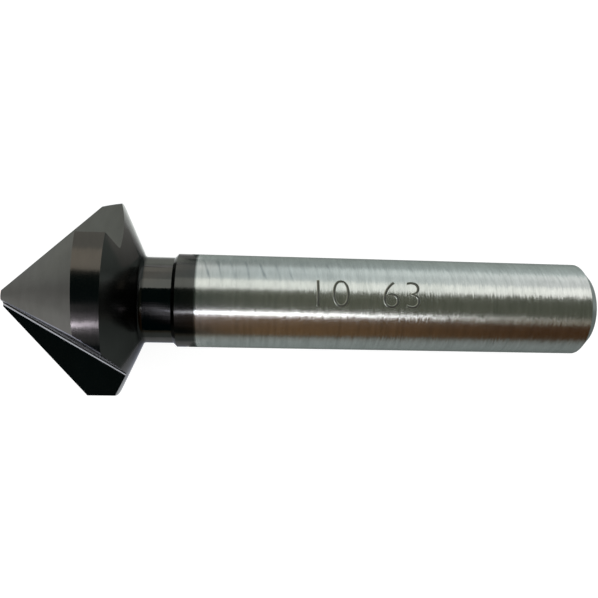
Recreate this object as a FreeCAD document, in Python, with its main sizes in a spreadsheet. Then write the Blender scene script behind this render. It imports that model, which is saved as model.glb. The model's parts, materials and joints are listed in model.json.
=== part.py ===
import FreeCAD, Part
import math
import os
import Sketcher

# Countersink bit: a 90 degree cutting head with three flutes, a waisted neck and a plain
# cylindrical shank, all one piece. The tool is built along its own X axis, with x = 0 at
# the flat of the tip, and then laid down as it rests: on the rear corners of the two teeth
# either side of its lowest flute, and on the rim of the shank's end.

os.makedirs("parts", exist_ok=True)
doc = FreeCAD.newDocument("countersink")

# Driving sizes: lengths in millimetres, angles in degrees.
sizes = doc.addObject("Spreadsheet::Sheet", "sizes")
driving_sizes = [
    ("cutter_diameter", "20.5", "over the cylindrical lands"),
    ("cone_angle", "90", "included angle of the cutting cone"),
    ("tip_diameter", "2.1", "flat at the tip"),
    ("land_length", "2.85", "cylindrical land, along the axis at the cutting edge"),
    ("back_angle", "65", "back face of the head, to the axis"),
    ("neck_diameter", "9.2", "neck between head and shank"),
    ("neck_length", "3.2", "from the foot of the back face to the shoulder"),
    ("neck_fillet", "0.5", "corner of the back face and the neck"),
    ("shoulder_length", "0.4", "bevel from neck to shank, along the axis"),
    ("shank_diameter", "10", "ground shank"),
    ("overall_length", "63", "from the tip to the end of the shank"),
    ("end_chamfer", "1", "45 degree edge of the shank's end"),
    ("flute_count", "3", "evenly spaced round the head"),
    ("root_angle", "29.2", "root of a flute, to the axis"),
    ("root_start", "-1.1", "where the root line meets the axis, from the tip"),
    ("flute_angle", "96", "opening of a flute, square to its root"),
    ("root_radius", "0.35", "fillet along the root of a flute"),
    ("relief_angle", "1.2", "lean of the relieved cone's axis"),
    ("relief_sweep", "115", "turn of one relief cut about the leaning axis"),
]
for row, (alias, value, note) in enumerate(driving_sizes, start=1):
    sizes.set("A%d" % row, alias)
    sizes.set("B%d" % row, value)
    sizes.set("C%d" % row, note)
    sizes.setAlias("B%d" % row, alias)
doc.recompute()


def size(alias):
    return float(sizes.get(alias))


def sin_deg(angle):
    return math.sin(math.radians(angle))


def cos_deg(angle):
    return math.cos(math.radians(angle))


def tan_deg(angle):
    return math.tan(math.radians(angle))


# Points of a sketch: the first and last point of a line or arc, and the sketch's origin.
def first_of(item):
    return item, 1


def last_of(item):
    return item, 2


sketch_origin = (-1, 1)

body = doc.addObject("PartDesign::Body", "countersink_bit")
body.Label = "countersink_bit"
origin = {feature.Role: feature for feature in body.Origin.OriginFeatures}


def sketch_on(role, name):
    sketch = body.newObject("Sketcher::SketchObject", name)
    sketch.AttachmentSupport = [(origin[role], "")]
    sketch.MapMode = "FlatFace"
    return sketch


def line(sketch, start, end):
    a = FreeCAD.Vector(start[0], start[1], 0)
    b = FreeCAD.Vector(end[0], end[1], 0)
    return sketch.addGeometry(Part.LineSegment(a, b), False)


def arc(sketch, centre, radius, first, last):
    circle = Part.Circle(FreeCAD.Vector(centre[0], centre[1], 0), FreeCAD.Vector(0, 0, 1), radius)
    return sketch.addGeometry(Part.ArcOfCircle(circle, math.radians(first), math.radians(last)), False)


def hold(sketch, kind, *arguments):
    sketch.addConstraint(Sketcher.Constraint(kind, *arguments))


def drive(sketch, name, expression, kind, *arguments):
    index = sketch.addConstraint(Sketcher.Constraint(kind, *arguments))
    sketch.renameConstraint(index, name)
    sketch.setExpression("Constraints." + name, expression)


def join(sketch, *items):
    for item, following in zip(items, items[1:]):
        hold(sketch, "Coincident", *last_of(item), *first_of(following))


def check_sketch(sketch):
    if sketch.solve() != 0 or not sketch.FullyConstrained:
        raise RuntimeError("sketch %s isn't fully defined" % sketch.Name)


# Turned form: its half section, above the axis in the XZ plane.
slope = tan_deg(size("cone_angle") / 2)
cutter_radius = size("cutter_diameter") / 2
tip_radius = size("tip_diameter") / 2
neck_radius = size("neck_diameter") / 2
shank_radius = size("shank_diameter") / 2
land_start = (cutter_radius - tip_radius) / slope
land_end = land_start + size("land_length")
back_angle = size("back_angle")
neck_start = land_end + (cutter_radius - neck_radius) / tan_deg(back_angle)
neck_end = neck_start + size("neck_length")
shank_start = neck_end + size("shoulder_length")
shank_end = size("overall_length")
end_chamfer = size("end_chamfer")
chamfer_start = shank_end - end_chamfer
end_radius = shank_radius - end_chamfer
neck_fillet = size("neck_fillet")
fillet_reach = neck_fillet * tan_deg(back_angle / 2)
fillet_end = neck_start + fillet_reach
back_foot = (neck_start - fillet_reach * cos_deg(back_angle),
             neck_radius + fillet_reach * sin_deg(back_angle))

section = sketch_on("XZ_Plane", "half_section")
tip = line(section, (0, 0), (0, tip_radius))
cone = line(section, (0, tip_radius), (land_start, cutter_radius))
land = line(section, (land_start, cutter_radius), (land_end, cutter_radius))
back = line(section, (land_end, cutter_radius), back_foot)
corner = arc(section, (fillet_end, neck_radius + neck_fillet), neck_fillet, 270 - back_angle, 270)
neck = line(section, (fillet_end, neck_radius), (neck_end, neck_radius))
shoulder = line(section, (neck_end, neck_radius), (shank_start, shank_radius))
shank = line(section, (shank_start, shank_radius), (chamfer_start, shank_radius))
chamfer = line(section, (chamfer_start, shank_radius), (shank_end, end_radius))
end_face = line(section, (shank_end, end_radius), (shank_end, 0))
centre_line = line(section, (shank_end, 0), (0, 0))
join(section, neck, shoulder, shank, chamfer, end_face, centre_line, tip, cone, land, back)
hold(section, "Tangent", *last_of(back), *first_of(corner))
hold(section, "Tangent", *last_of(corner), *first_of(neck))
hold(section, "Coincident", *first_of(tip), *sketch_origin)
for upright in (tip, end_face):
    hold(section, "Vertical", upright)
for level in (land, neck, shank, centre_line):
    hold(section, "Horizontal", level)
drive(section, "tip_radius", "sizes.tip_diameter / 2",
      "DistanceY", *first_of(tip), *last_of(tip), tip_radius)
drive(section, "cone_slope", "sizes.cone_angle / 2",
      "Angle", cone, math.radians(size("cone_angle") / 2))
drive(section, "cutter_radius", "sizes.cutter_diameter / 2",
      "DistanceY", *sketch_origin, *first_of(land), cutter_radius)
drive(section, "land_length", "sizes.land_length",
      "DistanceX", *first_of(land), *last_of(land), size("land_length"))
drive(section, "back_slope", "-sizes.back_angle",
      "Angle", back, -math.radians(back_angle))
drive(section, "neck_radius", "sizes.neck_diameter / 2",
      "DistanceY", *sketch_origin, *last_of(neck), neck_radius)
drive(section, "neck_fillet", "sizes.neck_fillet",
      "Radius", corner, neck_fillet)
drive(section, "land_to_shoulder",
      "(sizes.cutter_diameter - sizes.neck_diameter) / 2 / tan(sizes.back_angle) + sizes.neck_length",
      "DistanceX", *last_of(land), *last_of(neck), neck_end - land_end)
drive(section, "shoulder_length", "sizes.shoulder_length",
      "DistanceX", *first_of(shoulder), *last_of(shoulder), size("shoulder_length"))
drive(section, "shank_radius", "sizes.shank_diameter / 2",
      "DistanceY", *sketch_origin, *first_of(shank), shank_radius)
drive(section, "chamfer_length", "sizes.end_chamfer",
      "DistanceX", *first_of(chamfer), *last_of(chamfer), end_chamfer)
drive(section, "chamfer_depth", "sizes.end_chamfer",
      "DistanceY", *last_of(chamfer), *first_of(chamfer), end_chamfer)
drive(section, "overall_length", "sizes.overall_length",
      "DistanceX", *sketch_origin, *first_of(centre_line), shank_end)
doc.recompute()
check_sketch(section)

turned = body.newObject("PartDesign::Revolution", "turned_form")
turned.Profile = (section, [""])
turned.ReferenceAxis = (origin["X_Axis"], [""])
turned.Angle = 360
doc.recompute()
turned_volume = turned.Shape.Volume

# Relief of one tooth: everything outside an equal cone whose axis leans about the same
# apex, away from the tooth's back. The two cones meet at the cutting edge, in the plane of
# the tool's axis and +Z, and part behind it, so the back of the tooth clears the work.
apex = -tip_radius / slope
inner_radius = tip_radius / 4
outer_radius = cutter_radius * 1.2
relief = sketch_on("XY_Plane", "relief_section")
relief.AttachmentOffset = FreeCAD.Placement(
    FreeCAD.Vector(apex, 0, 0), FreeCAD.Rotation(FreeCAD.Vector(0, 0, 1), size("relief_angle")))
relief.setExpression("AttachmentOffset.Base.x", "-sizes.tip_diameter / 2 / tan(sizes.cone_angle / 2)")
relief.setExpression("AttachmentOffset.Rotation.Angle", "sizes.relief_angle")
flank = line(relief, (inner_radius / slope, -inner_radius), (outer_radius / slope, -outer_radius))
outside = line(relief, (outer_radius / slope, -outer_radius), (inner_radius / slope, -outer_radius))
front = line(relief, (inner_radius / slope, -outer_radius), (inner_radius / slope, -inner_radius))
join(relief, flank, outside, front, flank)
hold(relief, "Horizontal", outside)
hold(relief, "Vertical", front)
hold(relief, "PointOnObject", *sketch_origin, flank)
drive(relief, "cone_slope", "-sizes.cone_angle / 2",
      "Angle", flank, -math.radians(size("cone_angle") / 2))
drive(relief, "inner_radius", "sizes.tip_diameter / 8",
      "DistanceY", *last_of(front), *sketch_origin, inner_radius)
drive(relief, "outer_radius", "sizes.cutter_diameter * 0.6",
      "DistanceY", *first_of(outside), *sketch_origin, outer_radius)
doc.recompute()
check_sketch(relief)

relief_cut = body.newObject("PartDesign::Groove", "relief_cut")
relief_cut.Profile = (relief, [""])
relief_cut.ReferenceAxis = (relief, ["H_Axis"])
relief_cut.Angle = size("relief_sweep")
relief_cut.setExpression("Angle", "sizes.relief_sweep")
relief_cut.Reversed = True
doc.recompute()
if relief_cut.Shape.Volume >= turned_volume or relief_cut.Shape.CenterOfGravity.z >= 0:
    raise RuntimeError("the relief isn't cut behind the cutting edge")

# Flute: a V with a small fillet along its root. Its one side is the rake face, which holds
# the tool's axis and ends in the cutting edge. Its other side is the heel of the tooth
# before. The section stands square to the root line, where that line meets the axis.
root_angle = size("root_angle")
flute_angle = size("flute_angle")
root_radius = size("root_radius")
root_reach = root_radius / tan_deg(flute_angle / 2)
span = size("cutter_diameter")
heel_end = (span, span / tan_deg(flute_angle))
flute = sketch_on("YZ_Plane", "flute_section")
flute.AttachmentOffset = FreeCAD.Placement(
    FreeCAD.Vector(0, 0, size("root_start")), FreeCAD.Rotation(FreeCAD.Vector(1, 0, 0), -root_angle))
flute.setExpression("AttachmentOffset.Base.z", "sizes.root_start")
flute.setExpression("AttachmentOffset.Rotation.Angle", "-sizes.root_angle")
rake = line(flute, (0, span), (0, root_reach))
root = arc(flute, (root_radius, root_reach), root_radius, 180, 360 - flute_angle)
heel = line(flute, (root_reach * sin_deg(flute_angle), root_reach * cos_deg(flute_angle)), heel_end)
outer_side = line(flute, heel_end, (span, span))
outer_top = line(flute, (span, span), (0, span))
join(flute, heel, outer_side, outer_top, rake)
hold(flute, "Tangent", *last_of(rake), *first_of(root))
hold(flute, "Tangent", *last_of(root), *first_of(heel))
hold(flute, "PointOnObject", *sketch_origin, rake)
hold(flute, "PointOnObject", *sketch_origin, heel)
for upright in (rake, outer_side):
    hold(flute, "Vertical", upright)
hold(flute, "Horizontal", outer_top)
drive(flute, "root_radius", "sizes.root_radius",
      "Radius", root, root_radius)
drive(flute, "flute_angle", "90 - sizes.flute_angle",
      "Angle", heel, math.radians(90 - flute_angle))
drive(flute, "flute_height", "sizes.cutter_diameter",
      "DistanceY", *sketch_origin, *first_of(rake), span)
drive(flute, "flute_width", "sizes.cutter_diameter",
      "DistanceX", *sketch_origin, *last_of(heel), span)
doc.recompute()
check_sketch(flute)

flute_cut = body.newObject("PartDesign::Pocket", "flute_cut")
flute_cut.Profile = (flute, [""])
flute_cut.Type = "ThroughAll"
flute_cut.Reversed = True
doc.recompute()
single_cut = turned_volume - flute_cut.Shape.Volume
if flute_cut.Shape.Volume >= relief_cut.Shape.Volume:
    raise RuntimeError("the flute misses the head")

# Relief and flute repeat together round the tool's axis.
flute_count = int(size("flute_count"))
teeth = body.newObject("PartDesign::PolarPattern", "teeth")
teeth.Originals = [relief_cut, flute_cut]
teeth.Axis = (origin["X_Axis"], [""])
teeth.Angle = 360
teeth.Occurrences = flute_count
teeth.setExpression("Occurrences", "sizes.flute_count")
body.Tip = teeth
doc.recompute()
if turned_volume - teeth.Shape.Volume < 0.9 * flute_count * single_cut:
    raise RuntimeError("the pattern left a tooth uncut")

# Rest: on the rear edge of the lands a flute is this wide, from its rake face at +Z to the
# heel of the tooth before. That flute is turned down, so that its two rear corners touch
# the surface, and the axis dips towards the shank until the rim of its end touches too.
root_height = (land_end - size("root_start")) * tan_deg(root_angle)
heel_side = sin_deg(flute_angle)
heel_rise = cos_deg(flute_angle) / cos_deg(root_angle)
heel_square = heel_side ** 2 + heel_rise ** 2
along = root_height * heel_rise
outward = math.sqrt(along ** 2 + heel_square * (cutter_radius ** 2 - root_height ** 2))
heel_length = (outward - along) / heel_square
heel_place = math.degrees(math.atan2(root_height + heel_length * heel_rise, heel_length * heel_side))
half_width = (90 - heel_place) / 2
dip = math.degrees(math.atan2(cutter_radius * cos_deg(half_width) - shank_radius, chamfer_start - land_end))
turn = -90 - (90 + heel_place) / 2
height = chamfer_start * sin_deg(dip) + shank_radius * cos_deg(dip)
rear = shank_end * cos_deg(dip) + end_radius * sin_deg(dip)
front_reach = tip_radius * sin_deg(dip)
laid = FreeCAD.Rotation(FreeCAD.Vector(0, 1, 0), dip)
laid = laid.multiply(FreeCAD.Rotation(FreeCAD.Vector(1, 0, 0), turn))
body.Placement = FreeCAD.Placement(FreeCAD.Vector((front_reach - rear) / 2, 0, height), laid)
doc.recompute()

for item in doc.Objects:
    if "Invalid" in item.State or "Error" in item.State:
        raise RuntimeError("%s failed: %s" % (item.Name, item.State))
for part in (body,):
    if part.Shape.isNull() or not part.Shape.isValid() or len(part.Shape.Solids) != 1:
        raise RuntimeError("%s has no valid single solid" % part.Label)
    part.Shape.exportStep(os.path.join("parts", part.Label + ".step"))

print("volume %.1f mm3, turned %.1f mm3" % (body.Shape.Volume, turned_volume))
print("flute %.2f degrees wide at the rear of the lands" % (2 * half_width))
print("axis dips %.3f degrees, height of the tip's centre %.3f mm" % (dip, height))
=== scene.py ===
import json
import math

import bmesh
import bpy
from mathutils import Matrix, Vector

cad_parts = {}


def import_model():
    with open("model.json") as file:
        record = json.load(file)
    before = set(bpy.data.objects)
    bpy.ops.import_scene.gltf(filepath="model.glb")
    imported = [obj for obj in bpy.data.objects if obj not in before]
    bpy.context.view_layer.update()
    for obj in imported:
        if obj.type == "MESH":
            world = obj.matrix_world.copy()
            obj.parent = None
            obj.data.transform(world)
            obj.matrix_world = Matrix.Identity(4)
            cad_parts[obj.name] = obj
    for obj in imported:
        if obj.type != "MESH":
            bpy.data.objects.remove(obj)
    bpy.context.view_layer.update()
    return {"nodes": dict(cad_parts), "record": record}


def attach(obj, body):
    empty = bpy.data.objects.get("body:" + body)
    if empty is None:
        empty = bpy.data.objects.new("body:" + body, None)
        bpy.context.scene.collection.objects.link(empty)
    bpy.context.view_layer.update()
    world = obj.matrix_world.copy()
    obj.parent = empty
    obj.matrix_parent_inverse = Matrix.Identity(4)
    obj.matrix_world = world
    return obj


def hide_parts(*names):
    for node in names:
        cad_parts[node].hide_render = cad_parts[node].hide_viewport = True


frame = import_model()

# Lengths are in metres. The tool's own axes: x runs from the tip along the axis, and the
# origin is the centre of the tip's flat. The tool lies with that axis dipping towards the
# shank. Both are worked out from the mounts on the shank.
OVERALL_LENGTH = 0.063
MOUNTS = {mount["name"]: mount for mount in frame["record"]["mounts"]}
SHANK_RADIUS = MOUNTS["shank"]["dims"]["r_mm"] / 1000
TOOL_AXIS = Vector(MOUNTS["shank_end"]["axis"]).normalized()
TIP_CENTRE = Vector(MOUNTS["shank_end"]["pos_m"]) - OVERALL_LENGTH * TOOL_AXIS
AXIS_DIP = math.atan2(-TOOL_AXIS.z, TOOL_AXIS.x)
TOOL = Matrix.Translation(TIP_CENTRE) @ Matrix.Rotation(AXIS_DIP, 4, "Y")
TO_TOOL = TOOL.inverted()

# Places along the tool, from the tip: the rounded corner between the head's back cone and
# the neck, the bevel from neck to shank, and the end of the dark coating on the shank.
CORNER_START, CORNER_END = 0.01455, 0.0150
NECK_END, SHANK_START = 0.01789, 0.01829
COATING_END = 0.02042

# Feed marks on the shank: their distance along it, and how far one runs in a radian's turn.
FEED_PITCH = 0.00143
FEED_LEAN = 0.0012


# Materials: small helpers that add a node, set its sockets and link what is given.
def new_material(name):
    material = bpy.data.materials.new(name)
    material.use_nodes = True
    material.node_tree.nodes.clear()
    return material, material.node_tree


def add(tree, kind, sockets=None, **settings):
    node = tree.nodes.new(kind)
    for key, value in settings.items():
        setattr(node, key, value)
    for key, value in (sockets or {}).items():
        if isinstance(value, bpy.types.NodeSocket):
            tree.links.new(value, node.inputs[key])
        else:
            node.inputs[key].default_value = value
    return node


def math_node(tree, operation, first, second=0.0):
    return add(tree, "ShaderNodeMath", {0: first, 1: second}, operation=operation).outputs[0]


def tool_coordinates(tree):
    """Object coordinates turned to the tool's own axes."""
    place = add(tree, "ShaderNodeTexCoord")
    turned = add(tree, "ShaderNodeMapping", {
        "Vector": place.outputs["Object"],
        "Location": TIP_CENTRE,
        "Rotation": (0, AXIS_DIP, 0),
    }, vector_type="TEXTURE")
    return turned.outputs["Vector"]


def distance_from_tip(tree, place):
    return add(tree, "ShaderNodeSeparateXYZ", {"Vector": place}).outputs["X"]


def stretched_noise(tree, place, along, across, detail=2.0, roughness=0.5):
    """Noise that changes along times a metre down the axis and across times a metre round it."""
    scaled = add(tree, "ShaderNodeMapping", {
        "Vector": place,
        "Scale": (along, across, across),
    })
    noise = add(tree, "ShaderNodeTexNoise", {
        "Vector": scaled.outputs["Vector"],
        "Scale": 1.0,
        "Detail": detail,
        "Roughness": roughness,
    })
    return noise.outputs["Fac"]


def spread(tree, value, low, high, start=0.25, end=0.75):
    """Maps the range from start to end, usually the middle of a noise, to that from low to high."""
    ranged = add(tree, "ShaderNodeMapRange", {
        "Value": value,
        "From Min": start,
        "From Max": end,
        "To Min": low,
        "To Max": high,
    })
    return ranged.outputs["Result"]


def between(tree, value, rise, fall):
    """1 between two stretches and 0 outside them: it climbs over the first, falls over the last."""
    return math_node(tree, "MINIMUM", spread(tree, value, 0, 1, *rise),
                     spread(tree, value, 1, 0, *fall))


def to_and_fro(tree, noise, reach):
    """Turns a noise into a swing to either side of 0."""
    return math_node(tree, "MULTIPLY", math_node(tree, "SUBTRACT", noise, 0.5), reach)


def ramp(tree, value, stops):
    """A colour that runs through stops, which are pairs of a place from 0 to 1 and a colour."""
    node = add(tree, "ShaderNodeValToRGB", {"Fac": value})
    elements = node.color_ramp.elements
    while len(elements) > 1:
        elements.remove(elements[-1])
    elements[0].position = stops[0][0]
    elements[0].color = (*stops[0][1], 1)
    for position, colour in stops[1:]:
        elements.new(position).color = (*colour, 1)
    return node.outputs["Color"]


def blend(tree, share, first, second):
    """Mixes two colours: a share of 0 gives the first and 1 the second."""
    node = add(tree, "ShaderNodeMix", data_type="RGBA")
    for socket, value in ((node.inputs[0], share), (node.inputs[6], first), (node.inputs[7], second)):
        if isinstance(value, bpy.types.NodeSocket):
            tree.links.new(value, socket)
        else:
            socket.default_value = (*value, 1)
    return node.outputs[2]


def finish_surface(tree, shader):
    add(tree, "ShaderNodeOutputMaterial", {"Surface": shader})


def ragged_normal(tree, place, grain):
    """Turns the normal a little to and fro round the tool, by a different amount at each
    grinding streak, so that the edges of reflections come out ragged. A fine bump on top."""
    streaks = stretched_noise(tree, place, along=8600, across=900, roughness=0.65)
    waves = stretched_noise(tree, place, along=1700, across=560, roughness=0.55)
    swing = math_node(tree, "ADD", to_and_fro(tree, streaks, reach=grain),
                      to_and_fro(tree, waves, reach=0.022))
    normal = add(tree, "ShaderNodeTexCoord").outputs["Normal"]
    round_tool = add(tree, "ShaderNodeVectorMath", {0: TOOL_AXIS, 1: normal},
                     operation="CROSS_PRODUCT").outputs[0]
    sideways = add(tree, "ShaderNodeVectorMath", {0: round_tool, "Scale": swing},
                   operation="SCALE").outputs[0]
    turned = add(tree, "ShaderNodeVectorMath", {0: normal, 1: sideways},
                 operation="ADD").outputs[0]
    turned = add(tree, "ShaderNodeVectorTransform", {"Vector": turned}, vector_type="NORMAL",
                 convert_from="OBJECT", convert_to="WORLD").outputs[0]
    fine = stretched_noise(tree, place, along=14000, across=90, roughness=0.6)
    bump = add(tree, "ShaderNodeBump", {
        "Strength": 0.12,
        "Distance": 0.000006,
        "Height": fine,
        "Normal": turned,
    })
    return bump.outputs["Normal"], fine


def feed_marks(tree, place):
    """How dark the feed marks are: steep screw lines on the side of the shank away from the
    front, strongest near the head and broken into patches."""
    parts = add(tree, "ShaderNodeSeparateXYZ", {"Vector": place})
    turn = math_node(tree, "ARCTAN2", parts.outputs["Y"], parts.outputs["Z"])
    wander = spread(tree, stretched_noise(tree, place, along=500, across=120, detail=1.0), -0.2, 0.2)
    lead = math_node(tree, "MULTIPLY", turn, FEED_LEAN / FEED_PITCH)
    travel = math_node(tree, "MULTIPLY", parts.outputs["X"], 1 / FEED_PITCH)
    phase = math_node(tree, "FRACT", math_node(
        tree, "ADD", math_node(tree, "ADD", travel, lead), wander))
    off_line = math_node(tree, "ABSOLUTE", math_node(tree, "SUBTRACT", phase, 0.5))
    patches = stretched_noise(tree, place, along=900, across=350, detail=1.0)
    line = spread(tree, off_line, low=1, high=0, start=0.02, end=0.15)
    on_far_side = between(tree, turn, rise=(0.36, 0.52), fall=(0.82, 0.98))
    near_head = spread(tree, parts.outputs["X"], low=1, high=0.2, start=0.026, end=0.038)
    patchy = spread(tree, patches, low=0.1, high=1, start=0.35, end=0.6)
    darkness = 0.62
    for factor in (line, on_far_side, near_head, patchy):
        darkness = math_node(tree, "MULTIPLY", factor, darkness)
    return darkness


def ground_steel():
    """Bright shank: fine streaks round it, a soft mottle, and dark feed marks."""
    material, tree = new_material("ground_steel")
    place = tool_coordinates(tree)
    grain = spread(tree, distance_from_tip(tree, place), low=0.09, high=0.24, start=0.027, end=0.043)
    normal, fine = ragged_normal(tree, place, grain)
    streaks = stretched_noise(tree, place, along=2600, across=60, detail=3.0, roughness=0.6)
    mottle = stretched_noise(tree, place, along=1100, across=520, detail=3.0, roughness=0.6)
    tone = math_node(tree, "MULTIPLY", math_node(tree, "ADD", streaks, mottle), 0.5)
    colour = ramp(tree, spread(tree, tone, 0, 1, start=0.35, end=0.65), [
        (0.0, (0.50, 0.505, 0.495)),
        (0.5, (0.575, 0.575, 0.565)),
        (1.0, (0.63, 0.63, 0.62)),
    ])
    colour = blend(tree, feed_marks(tree, place), colour, (0.20, 0.23, 0.24))
    shader = add(tree, "ShaderNodeBsdfPrincipled", {
        "Base Color": colour,
        "Metallic": 0.985,
        "Roughness": spread(tree, fine, 0.20, 0.24),
        "Normal": normal,
    })
    finish_surface(tree, shader.outputs["BSDF"])
    return material


def coating(name, thin_tone, thick_tone):
    """The dark coating: a tone that drifts along the tool, and a soft worn end on the shank. It is
    smoother on the finely ground neck, and darkened in the corner where the neck begins, which is
    painted shade."""
    material, tree = new_material(name)
    place = tool_coordinates(tree)
    from_tip = distance_from_tip(tree, place)
    normal, fine = ragged_normal(tree, place, 0.05)
    drift = stretched_noise(tree, place, along=900, across=400, detail=3.0, roughness=0.6)
    colour = ramp(tree, spread(tree, drift, 0, 1), [
        (0.0, thick_tone),
        (1.0, thin_tone),
    ])
    worn_edge = math_node(tree, "ADD", from_tip, spread(tree, fine, -0.00004, 0.00004))
    worn = spread(tree, worn_edge, 0, 1, start=COATING_END - 0.00022, end=COATING_END + 0.00002)
    colour = blend(tree, worn, colour, (0.50, 0.51, 0.50))
    # Painted shade: the colour is darkened towards black in the rounded corner between the back cone
    # and the neck.
    painted_corner_shade = between(tree, from_tip, rise=(CORNER_START - 0.0002, CORNER_START),
                        fall=(CORNER_END - 0.0001, CORNER_END + 0.0002))
    colour = blend(tree, math_node(tree, "MULTIPLY", painted_corner_shade, 0.7), colour, (0.012, 0.013, 0.013))
    on_neck = between(tree, from_tip, rise=(CORNER_END - 0.0002, CORNER_END + 0.0002),
                      fall=(NECK_END, SHANK_START))
    smoother = math_node(tree, "MULTIPLY", on_neck, 0.08)
    shader = add(tree, "ShaderNodeBsdfPrincipled", {
        "Base Color": colour,
        "Metallic": 1.0,
        "Specular Tint": (0.5, 0.5, 0.5, 1.0),
        "Roughness": math_node(tree, "SUBTRACT", spread(tree, fine, 0.15, 0.18), smoother),
        "Normal": normal,
    })
    finish_surface(tree, shader.outputs["BSDF"])
    return material


# The tool: a merged copy of the solid, shaded smooth between its real edges. The heel edge of each
# tooth, where it drops to the back wall of a flute, is broken by a narrow bevel, coloured lighter
# than the coating: partly rubbed coating and partly a painted highlight. A ring is cut where the
# coating ends, and the faces past it are bright steel. A back wall is known by the x part of its
# normal, a back cone by a large one.
BACK_WALL_NORMAL_X = -0.487
BACK_CONE_LEAST_X = 0.5
HEEL_BEVEL = 0.00013
ONE_PLANE = math.radians(0.4)
HEEL_TURN = math.radians(20)
SHARP_TURN = math.radians(35)
COATED, STEEL, RUBBED_AND_SHEEN_EDGE = range(3)


def on_back_wall(face):
    normal = TO_TOOL.to_3x3() @ face.normal
    return abs(normal.x - BACK_WALL_NORMAL_X) < 0.01


def on_back_cone(face):
    return (TO_TOOL.to_3x3() @ face.normal).x > BACK_CONE_LEAST_X


def is_heel(edge):
    if len(edge.link_faces) != 2 or not edge.is_convex or edge.calc_face_angle(0) <= HEEL_TURN:
        return False
    walls = sum(on_back_wall(face) for face in edge.link_faces)
    return walls == 1 and not any(on_back_cone(face) for face in edge.link_faces)


def break_heel_edges(shape):
    """Merges the triangles of each plane, bevels the heel edges and marks the sharp ones."""
    bmesh.ops.dissolve_limit(
        shape, angle_limit=ONE_PLANE, use_dissolve_boundaries=False,
        verts=shape.verts[:], edges=shape.edges[:], delimit=set(),
    )
    shape.normal_update()
    heels = [edge for edge in shape.edges if is_heel(edge)]
    bevelled = set(bmesh.ops.bevel(
        shape, geom=heels, offset=HEEL_BEVEL, offset_type="OFFSET", segments=3, profile=0.5,
        affect="EDGES", material=-1, clamp_overlap=False,
    )["faces"])
    for edge in shape.edges:
        inside = sum(face in bevelled for face in edge.link_faces)
        edge.smooth = inside == 2 or (inside == 0 and edge.calc_face_angle(0) < SHARP_TURN)
    # The bevel faces take the lighter finish: partly rubbed coating, partly a painted highlight.
    for face in bevelled:
        face.material_index = RUBBED_AND_SHEEN_EDGE
    bmesh.ops.triangulate(shape, faces=[face for face in shape.faces if len(face.verts) > 4])


def tool_body():
    source = frame["nodes"]["countersink_bit"]
    shape = bmesh.new()
    shape.from_mesh(source.data)
    bmesh.ops.remove_doubles(shape, verts=shape.verts, dist=1e-6)
    break_heel_edges(shape)
    bmesh.ops.bisect_plane(
        shape,
        geom=shape.verts[:] + shape.edges[:] + shape.faces[:],
        plane_co=TOOL @ Vector((COATING_END, 0, 0)),
        plane_no=TOOL_AXIS,
    )
    for face in shape.faces:
        face.smooth = True
        if (TO_TOOL @ face.calc_center_median()).x > COATING_END:
            face.material_index = STEEL
    mesh = bpy.data.meshes.new("coated_countersink")
    shape.to_mesh(mesh)
    shape.free()
    finishes = {
        COATED: coating("dark_coating", (0.086, 0.085, 0.082), (0.074, 0.073, 0.070)),
        STEEL: ground_steel(),
        # The heel bevels are lighter and more violet than the coating: partly rubbed coating, partly
        # a painted highlight.
        RUBBED_AND_SHEEN_EDGE: coating("rubbed_edge_and_sheen", (0.20, 0.20, 0.23), (0.15, 0.15, 0.18)),
    }
    for index in sorted(finishes):
        mesh.materials.append(finishes[index])
    piece = bpy.data.objects.new("coated_countersink", mesh)
    bpy.context.scene.collection.objects.link(piece)
    # Long thin triangles would bend the shading: the largest faces at a corner lead instead.
    even = piece.modifiers.new("large_faces_lead", "WEIGHTED_NORMAL")
    even.mode = "FACE_AREA"
    even.weight = 50
    even.keep_sharp = True
    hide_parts("countersink_bit")
    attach(piece, "root")


tool_body()


# Plain size numbers on the shank, its diameter and the overall length in millimetres: thin
# dark strokes, each with a narrow pale burr round it, cut fine enough to bend round the shank.
# A digit is as high as a share of its font's size, and its strokes start inside the steel.
MARK_NUMBERS = f"{2000 * SHANK_RADIUS:.0f}  {1000 * OVERALL_LENGTH:.0f}"
MARK_PLACE = 0.0378
MARK_TURN = math.radians(7)
MARK_HEIGHT = 0.0031
MARK_ROWS = 24
MARK_SINK = 0.00004
DIGIT_SHARE = 0.72
CUT_HEIGHT = MARK_HEIGHT * 1.2


def mark_finish(name, dark_tone, light_tone, metallic, roughness):
    material, tree = new_material(name)
    place = tool_coordinates(tree)
    grain = stretched_noise(tree, place, along=9000, across=9000, roughness=0.6)
    colour = ramp(tree, spread(tree, grain, 0, 1), [(0.0, dark_tone), (1.0, light_tone)])
    shader = add(tree, "ShaderNodeBsdfPrincipled", {
        "Base Color": colour,
        "Metallic": metallic,
        "Roughness": roughness,
    })
    finish_surface(tree, shader.outputs["BSDF"])
    return material


def flat_numbers(name, thinning):
    """The numbers as a flat mesh, with every stroke thinner by thinning on each side."""
    words = bpy.data.curves.new(name + "_outline", "FONT")
    words.body = MARK_NUMBERS
    words.size = MARK_HEIGHT / DIGIT_SHARE
    words.offset = -thinning
    words.align_x = "CENTER"
    words.align_y = "CENTER"
    words.space_character = 1.1
    outline = bpy.data.objects.new(name + "_outline", words)
    bpy.context.scene.collection.objects.link(outline)
    bpy.context.view_layer.update()
    flat = bpy.data.meshes.new_from_object(outline)
    bpy.data.objects.remove(outline)
    return flat


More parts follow.
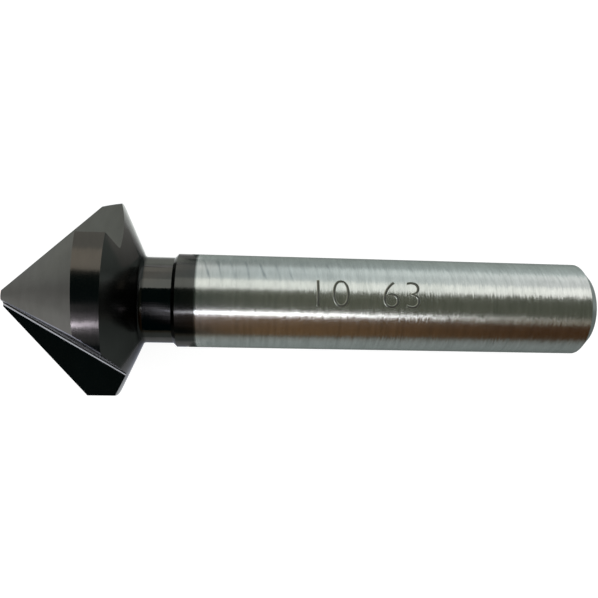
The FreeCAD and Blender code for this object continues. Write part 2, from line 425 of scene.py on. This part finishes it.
def size_mark(name, thinning, height, material):
    """Cuts the flat numbers into rows, thickens them and wraps them round the shank."""
    flat = flat_numbers(name, thinning)
    shape = bmesh.new()
    shape.from_mesh(flat)
    bpy.data.meshes.remove(flat)
    bmesh.ops.remove_doubles(shape, verts=shape.verts, dist=1e-7)
    for row in range(1, MARK_ROWS):
        bmesh.ops.bisect_plane(
            shape, geom=shape.verts[:] + shape.edges[:] + shape.faces[:],
            plane_co=(0, (row / MARK_ROWS - 0.5) * CUT_HEIGHT, 0), plane_no=(0, 1, 0),
        )
    low, high = SHANK_RADIUS - MARK_SINK, SHANK_RADIUS + height
    raised = bmesh.ops.extrude_face_region(shape, geom=shape.faces[:])
    top = {v for v in raised["geom"] if isinstance(v, bmesh.types.BMVert)}
    for vertex in shape.verts:
        radius = high if vertex in top else low
        turn = MARK_TURN + vertex.co.y / SHANK_RADIUS
        vertex.co = TOOL @ Vector((
            MARK_PLACE + vertex.co.x, radius * math.sin(turn), radius * math.cos(turn)))
    bmesh.ops.recalc_face_normals(shape, faces=shape.faces)
    mesh = bpy.data.meshes.new(name)
    shape.to_mesh(mesh)
    shape.free()
    mesh.materials.append(material)
    piece = bpy.data.objects.new(name, mesh)
    bpy.context.scene.collection.objects.link(piece)
    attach(piece, "root")


size_mark("size_mark", thinning=0.00011, height=0.000007, material=mark_finish(
    "etched_numbers", (0.058, 0.060, 0.048), (0.105, 0.107, 0.090), metallic=0.35, roughness=0.6))
size_mark("size_mark_burr", thinning=0.00006, height=0.000004, material=mark_finish(
    "mark_burr", (0.31, 0.33, 0.27), (0.41, 0.43, 0.36), metallic=0.95, roughness=0.42))


# Studio. The floor is white for the camera and in reflections, and keeps a soft shadow.
FLOOR_HALF_WIDTH = 3
FLOOR_GLOW = 0.88


def seen_rays(tree):
    """1 for a ray from the camera, a reflection or a refraction, and 0 for stray light."""
    rays = add(tree, "ShaderNodeLightPath").outputs
    either = math_node(tree, "MAXIMUM", rays["Is Camera Ray"], rays["Is Glossy Ray"])
    return math_node(tree, "MAXIMUM", either, rays["Is Transmission Ray"])


def floor():
    material, tree = new_material("white_floor")
    glow = add(tree, "ShaderNodeEmission", {
        "Color": (1, 1, 1, 1),
        "Strength": math_node(tree, "MULTIPLY", seen_rays(tree), FLOOR_GLOW),
    })
    matt = add(tree, "ShaderNodeBsdfDiffuse", {"Color": (0.3, 0.3, 0.3, 1)})
    both = add(tree, "ShaderNodeAddShader", {0: glow.outputs[0], 1: matt.outputs[0]})
    finish_surface(tree, both.outputs[0])
    shape = bmesh.new()
    bmesh.ops.create_grid(shape, x_segments=1, y_segments=1, size=FLOOR_HALF_WIDTH)
    mesh = bpy.data.meshes.new("floor")
    shape.to_mesh(mesh)
    shape.free()
    mesh.materials.append(material)
    sheet = bpy.data.objects.new("floor", mesh)
    bpy.context.scene.collection.objects.link(sheet)


def world():
    surroundings = bpy.data.worlds.new("white_studio")
    bpy.context.scene.world = surroundings
    surroundings.use_nodes = True
    tree = surroundings.node_tree
    tree.nodes.clear()
    strength = spread(tree, seen_rays(tree), low=0.7, high=1.0, start=0, end=1)
    glow = add(tree, "ShaderNodeBackground", {"Color": (1, 1, 1, 1), "Strength": strength})
    add(tree, "ShaderNodeOutputWorld", {"Surface": glow.outputs[0]})


# Cards round the tool, seen only in its reflections. Overhead cards are strips of an arch
# about the X axis, given by two angles in degrees from straight up, towards +Y. Low cards
# lie just over the floor beside the tool. A card's colour may change along one axis: its
# stops are then pairs of a place, in metres, and the colour there. A fade is two places
# along X, each followed by the card's strength there.
ARCH_RADIUS = 0.3
ARCH_CENTRE = Vector((0, 0, 0.008))
CARD_REACH = 0.5
DEGREES_PER_FACET = 4
FEWEST_FACETS = 4
BLACK = (0, 0, 0)

# Low cards: their height, where those beside the head begin, where those close along the
# shank meet the wider ones, and where all of them end.
LOW_CARD_HEIGHT = 0.0003
HEAD_CARDS_START = -0.052
CLOSE_CARDS_REACH = 0.022
LOW_CARDS_END = 0.3
BACK_CONE_CARD_HEIGHT = 0.0121


def card_object(name, shape, stops, axis="X", strength=1.0, fade=None):
    """Makes a glowing card of a shape. Its stops are a list, or one colour for the whole card."""
    material, tree = new_material(name)
    glow = add(tree, "ShaderNodeEmission", {"Strength": strength})
    place = add(tree, "ShaderNodeTexCoord")
    parts = add(tree, "ShaderNodeSeparateXYZ", {"Vector": place.outputs["Object"]})
    if fade:
        first_x, first_gain, last_x, last_gain = fade
        gain = spread(tree, parts.outputs["X"], first_gain, last_gain, first_x, last_x)
        tree.links.new(gain, glow.inputs["Strength"])
    if isinstance(stops, list):
        along = spread(tree, parts.outputs[axis], 0, 1, -CARD_REACH, CARD_REACH)
        colour = ramp(tree, along, [(at / (2 * CARD_REACH) + 0.5, tint) for at, tint in stops])
        tree.links.new(colour, glow.inputs["Color"])
    else:
        glow.inputs["Color"].default_value = (*stops, 1)
    finish_surface(tree, glow.outputs[0])
    mesh = bpy.data.meshes.new(name)
    shape.to_mesh(mesh)
    shape.free()
    mesh.materials.append(material)
    panel = bpy.data.objects.new(name, mesh)
    bpy.context.scene.collection.objects.link(panel)
    panel.visible_camera = False
    panel.visible_diffuse = False
    panel.visible_shadow = False


def overhead_card(name, first, last, stops, reach=(-CARD_REACH, CARD_REACH),
                  radius=ARCH_RADIUS, strength=1.0, twist=0.0):
    """A strip of the arch between two angles. A twist turns its far end's first angle."""
    shape = bmesh.new()
    rim = []
    for x, start in zip(reach, (math.radians(first), math.radians(first + twist))):
        outward = Vector((x, radius * math.sin(start), radius * math.cos(start)))
        rim.append(shape.verts.new(ARCH_CENTRE + outward))
    edge = shape.edges.new(rim)
    facets = max(FEWEST_FACETS, round(abs(last - first) / DEGREES_PER_FACET))
    bmesh.ops.spin(
        shape, geom=rim + [edge], cent=ARCH_CENTRE, axis=(1, 0, 0), dvec=(0, 0, 0),
        angle=math.radians(first - last), steps=facets, use_duplicate=False,
    )
    card_object(name, shape, stops, "X", strength)


def flat_card(name, corners, stops, fade=None):
    """A card with straight sides, whose stops are places along Y."""
    shape = bmesh.new()
    shape.faces.new([shape.verts.new(corner) for corner in corners])
    card_object(name, shape, stops, "Y", fade=fade)


def low_card(name, near_x, far_x, near_y, far_y, stops, lean=0.0, fade=None):
    """A card over the floor. A lean moves the corner at near_x and far_y along X."""
    height = LOW_CARD_HEIGHT
    flat_card(name, (
        (near_x, near_y, height), (far_x, near_y, height),
        (far_x, far_y, height), (near_x + lean, far_y, height)), stops, fade)


def arch_cards():
    """The studio as the shank mirrors it, from straight above down to the floor."""
    overhead_card("dark_ceiling", -31, 27, [
        (-0.03, (0.010, 0.025, 0.025)), (-0.0145, (0.0, 0.018, 0.018)),
        (-0.0105, (0.06, 0.07, 0.055)), (-0.003, (0.082, 0.094, 0.067)),
        (0.03, (0.103, 0.113, 0.080)), (0.08, (0.103, 0.111, 0.074)),
        (0.15, (0.085, 0.094, 0.066))])
    overhead_card("soft_panel", 27, 52, [
        (-0.06, (1.32, 1.18, 1.00)), (-0.035, (1.14, 1.20, 1.13)), (0.1, (1.18, 1.24, 1.16)),
        (0.2, (1.42, 1.45, 1.38))])
    overhead_card("grey_card", 52, 75, [
        (-0.05, (0.78, 0.76, 0.69)), (-0.04, (0.90, 0.90, 0.85)), (-0.028, (0.62, 0.69, 0.67)),
        (-0.02, (0.57, 0.66, 0.66)), (0.02, (0.57, 0.66, 0.66)), (0.06, (0.70, 0.79, 0.78)),
        (0.1, (0.70, 0.79, 0.77)), (0.2, (0.84, 0.88, 0.87))])
    overhead_card("horizon_card", 75, 95, [
        (-0.05, (1.10, 1.07, 0.97)), (-0.036, (0.88, 0.90, 0.86)), (-0.031, (0.66, 0.74, 0.74)),
        (0.01, (0.60, 0.69, 0.69)), (0.05, (0.82, 0.92, 0.90)), (0.1, (0.88, 0.98, 0.96)),
        (0.2, (1.02, 1.06, 1.04))])
    overhead_card("brown_card", -95, -31, [
        (-0.028, (0.0, 0.012, 0.015)), (-0.0225, (0.03, 0.025, 0.02)),
        (-0.0185, (0.155, 0.086, 0.030)), (0.04, (0.14, 0.076, 0.026)),
        (0.16, (0.055, 0.020, 0.0))])


def head_lights():
    """A bright strip with a soft glow round it, mirrored by the land of the tooth on top."""
    overhead_card("head_strip", -34.5, -29.5, [
        (-0.13, (0.96, 0.87, 1.0)), (-0.068, (0.96, 0.87, 1.0)), (-0.061, (0.35, 0.33, 0.36)),
        (-0.056, (0.05, 0.05, 0.05))], reach=(-0.13, -0.056), radius=0.29, strength=13.0)
    overhead_card("head_glow", -43, -20, (0.85, 0.80, 0.86), reach=(-0.13, -0.060), radius=0.294)
    overhead_card("head_glow_edge", -54, -10, (0.26, 0.26, 0.26), reach=(-0.13, -0.060), radius=0.297)


def shank_light():
    """The bright strip along the shank, from the collar to where it dims near the end."""
    overhead_card("strip_light", -34, -28.8, [
        (-0.030, BLACK), (-0.0245, (0.10, 0.10, 0.12)), (-0.0205, (0.52, 0.53, 0.62)),
        (-0.0165, (1.05, 1.08, 1.28)), (-0.0125, (1.3, 1.33, 1.52)), (-0.009, (1.0, 1.0, 1.0)),
        (0.05, (0.9, 0.9, 0.9)), (0.075, (0.66, 0.67, 0.67)), (0.09, (0.52, 0.53, 0.54)),
        (0.115, (0.38, 0.39, 0.39)), (0.128, (0.22, 0.225, 0.22)), (0.145, (0.12, 0.12, 0.115)),
        (0.17, (0.07, 0.07, 0.065)), (0.2, (0.055, 0.055, 0.05))],
        reach=(-0.030, 0.2), radius=0.29, strength=7.0, twist=-1.2)


def neck_glows():
    """Three glows, one inside the other, that fade from the collar towards the head."""
    for name, first, last, radius, strength in (
            ("neck_glow", -44, -22, 0.292, 1.05),
            ("neck_glow_edge", -56, -16, 0.2925, 0.42),
            ("neck_glow_rim", -70, -10, 0.293, 0.15)):
        overhead_card(name, first, last, [
            (-0.041, BLACK), (-0.0375, (0.04, 0.04, 0.045)), (-0.034, (0.32, 0.32, 0.36)),
            (-0.030, (0.80, 0.80, 0.90)), (-0.0268, (1.05, 1.05, 1.18))],
            reach=(-0.041, -0.0268), radius=radius, strength=strength)


def outer_cards():
    """A glow past the strip's dim end, a bright panel past the tip, which the heel bevel in front
    mirrors, rubbed and lightened with a painted highlight, and a dark card past the shank's end."""
    overhead_card("wide_glow", -46, -31, [
        (0.11, (0.13, 0.10, 0.07)), (0.16, (0.24, 0.22, 0.17)), (0.24, (0.28, 0.26, 0.20))],
        reach=(0.11, 0.26), radius=0.295)
    overhead_card("left_panel", -75, -15, [
        (-0.3, (0.6, 0.61, 0.66)), (-0.2, (0.84, 0.88, 1.0))], reach=(-0.4, -0.165),
        radius=0.29, strength=6.5)
    flat_card("end_card", [(0.45, y, z) for y, z in (
        (-0.35, 0.01), (0.35, 0.01), (0.35, 0.43), (-0.35, 0.43))], (0.05, 0.06, 0.06))


def low_cards():
    """What the cone and the sides of the head, the neck and the shank mirror near the floor."""
    low_card("tip_low_card", -CARD_REACH, HEAD_CARDS_START, -0.05, 0.05, [
        (-0.03, (2.1, 2.1, 2.1)), (-0.018, (2.1, 2.1, 2.07)), (-0.012, (1.75, 1.77, 1.70)),
        (-0.004, (1.60, 1.60, 1.55)), (0.004, (1.34, 1.34, 1.29)), (0.010, (1.24, 1.25, 1.2)),
        (0.014, (1.50, 1.54, 1.5)), (0.018, (1.62, 1.68, 1.56)), (0.03, (1.4, 1.44, 1.36))],
        fade=(-0.16, 0.55, -0.06, 1.05))
    low_card("head_low_card", HEAD_CARDS_START, -0.0155, 0.006, 0.06, [
        (0.008, (1.4, 1.45, 1.42)), (0.014, (1.48, 1.55, 1.48)), (0.020, (1.42, 1.5, 1.4)),
        (0.030, (1.28, 1.36, 1.26)), (0.045, (1.02, 1.09, 1.0)), (0.06, (0.95, 1.02, 0.93))],
        lean=-0.003)
    low_card("head_front_low_card", HEAD_CARDS_START, -0.0138, -CLOSE_CARDS_REACH, -0.005, [
        (-0.022, (0.50, 0.53, 0.53)), (-0.017, (0.85, 0.87, 0.88)), (-0.0125, (1.15, 1.18, 1.20)),
        (-0.010, (0.75, 0.78, 0.84)), (-0.0075, (0.50, 0.53, 0.62)), (-0.0055, (0.45, 0.48, 0.57))])
    low_card("front_low_card", -0.06, LOW_CARDS_END, -CARD_REACH, -CLOSE_CARDS_REACH, [
        (-0.28, (0.12, 0.10, 0.07)), (-0.1, (0.14, 0.13, 0.095)), (-0.047, (0.27, 0.29, 0.27)),
        (-0.022, (0.30, 0.34, 0.33))], fade=(0.0, 1.0, 0.05, 0.7))
    low_card("near_front_card", -0.0135, LOW_CARDS_END, -CLOSE_CARDS_REACH, 0.0, [
        (-0.022, (0.30, 0.34, 0.33)), (-0.012, (0.28, 0.32, 0.31)), (-0.0085, (0.19, 0.22, 0.21))],
        fade=(0.0, 1.0, 0.04, 0.8))
    low_card("near_back_card", -0.0134, LOW_CARDS_END, 0.0, CLOSE_CARDS_REACH, [
        (0.0085, (0.21, 0.24, 0.23)), (0.0125, (0.34, 0.395, 0.37)), (0.022, (0.35, 0.41, 0.395))],
        fade=(0.005, 1.0, 0.035, 1.2))
    low_card("back_low_card", -0.0150, LOW_CARDS_END, CLOSE_CARDS_REACH, 0.3, [
        (0.022, (0.35, 0.41, 0.395)), (0.047, (0.365, 0.42, 0.41)), (0.1, (0.50, 0.57, 0.56)),
        (0.28, (0.58, 0.66, 0.65))], lean=-0.0265, fade=(-0.015, 0.83, 0.035, 1.4))


def back_cone_card():
    """A small card beside the neck, which lights the head's back cone from the side."""
    near_head, near_shank, inner, outer = -0.0180, -0.0131, 0.0042, 0.0085
    corners = ((near_head, inner), (near_shank, inner), (near_shank, outer), (near_head, outer))
    flat_card("back_cone_card", [(x, y, BACK_CONE_CARD_HEIGHT) for x, y in corners], [
        (0.0042, (0.30, 0.30, 0.29)), (0.0056, (0.46, 0.46, 0.44)), (0.0066, (0.58, 0.58, 0.55)),
        (0.0080, (0.70, 0.70, 0.67))], fade=(-0.0172, 1.45, -0.0130, 1.0))


def key_light():
    """A weak lamp for the soft shadow on the floor. The cards give all the shine."""
    place = Vector((-0.1, 0.35, 0.4))
    light = bpy.data.lights.new("key_light", "AREA")
    light.shape = "SQUARE"
    light.size = 0.3
    light.energy = 0.25
    source = bpy.data.objects.new("key_light", light)
    source.location = place
    source.rotation_mode = "QUATERNION"
    source.rotation_quaternion = (-place).to_track_quat("-Z", "Y")
    source.visible_camera = False
    source.visible_glossy = False
    bpy.context.scene.collection.objects.link(source)


floor()
world()
arch_cards()
head_lights()
shank_light()
neck_glows()
outer_cards()
low_cards()
back_cone_card()
key_light()


# Camera: where the photograph was taken from, nearly straight above the tool.
CAMERA_PLACE = (-0.000072, -0.00451, 0.079089)
CAMERA_TURN_DEGREES = (3.961, 0.159, 0.996)
CAMERA_LENS = 39.43


def add_camera():
    camera_data = bpy.data.cameras.new("camera")
    camera_data.lens = CAMERA_LENS
    camera_data.sensor_width = 36
    camera_data.clip_start = 0.005
    camera = bpy.data.objects.new("camera", camera_data)
    camera.location = CAMERA_PLACE
    camera.rotation_euler = tuple(math.radians(angle) for angle in CAMERA_TURN_DEGREES)
    bpy.context.scene.collection.objects.link(camera)
    bpy.context.scene.camera = camera
    bpy.context.scene.view_settings.view_transform = "Standard"


add_camera()
